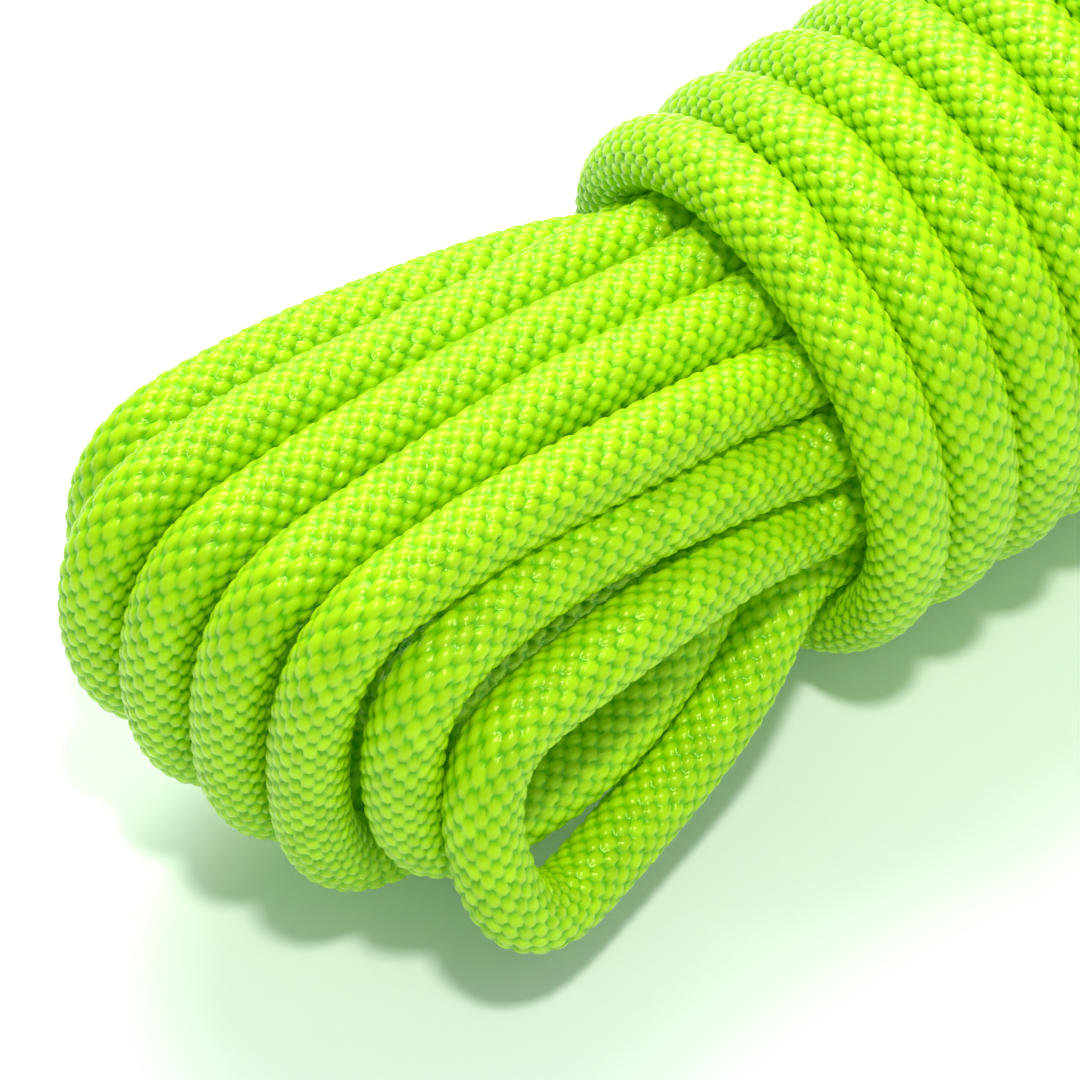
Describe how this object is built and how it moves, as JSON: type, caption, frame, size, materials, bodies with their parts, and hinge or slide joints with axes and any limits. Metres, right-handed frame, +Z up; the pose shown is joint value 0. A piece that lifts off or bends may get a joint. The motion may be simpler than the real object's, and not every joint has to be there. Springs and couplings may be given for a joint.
{
  "type": "hank of braided cord",
  "caption": "Neon green kernmantle cord made up as a flat-turned hank: a bundle of runs with a fold at each end, whipped along its length with its own end, the tail tucked through the rear eye.",
  "frame": {"origin": "middle of the bounding box on the ground plane the hank rests on", "axes": "+X along the hank from the front folds towards the rear folds and the tucked tail, +Y towards the side the tail comes out of, +Z up"},
  "size_m": [0.166, 0.0444, 0.0304],
  "materials": {
    "sheath": "bright neon lime-green nylon braid with a soft silky sheen",
    "core": "undyed white nylon strands, satin",
    "sealed_tip": "heat-sealed nylon, darker green, semi-gloss"
  },
  "bodies": {
    "root": {"finish": "sheath", "finish_core": "core", "finish_sheath": "sheath", "finish_tip": "sealed_tip", "front_fold_01": "sheath", "front_fold_02": "sheath", "front_fold_03": "sheath", "front_fold_04": "sheath", "front_fold_05": "sheath", "front_fold_06": "sheath", "front_fold_07": "sheath", "front_fold_08": "sheath", "front_fold_09": "sheath", "front_fold_10": "sheath", "lead_in": "sheath", "rear_fold_01": "sheath", "rear_fold_02": "sheath", "rear_fold_03": "sheath", "rear_fold_04": "sheath", "rear_fold_05": "sheath", "rear_fold_06": "sheath", "rear_fold_07": "sheath", "rear_fold_08": "sheath", "rear_fold_09": "sheath", "rear_fold_10": "sheath", "start_core": "core", "start_sheath": "sheath", "start_tip": "sealed_tip", "straight_runs": "sheath", "wrap_01": "sheath", "wrap_02": "sheath", "wrap_03": "sheath", "wrap_04": "sheath", "wrap_05": "sheath", "wrap_06": "sheath", "wrap_07": "sheath", "wrap_08": "sheath", "wrap_09": "sheath", "wrap_10": "sheath", "wrap_11": "sheath", "wrap_12": "sheath", "wrap_13": "sheath", "wrap_14": "sheath", "wrap_15": "sheath", "wrap_16": "sheath", "wrap_17": "sheath", "wrap_18": "sheath", "wrap_19": "sheath", "wrap_20": "sheath"}
  },
  "joints": []
}
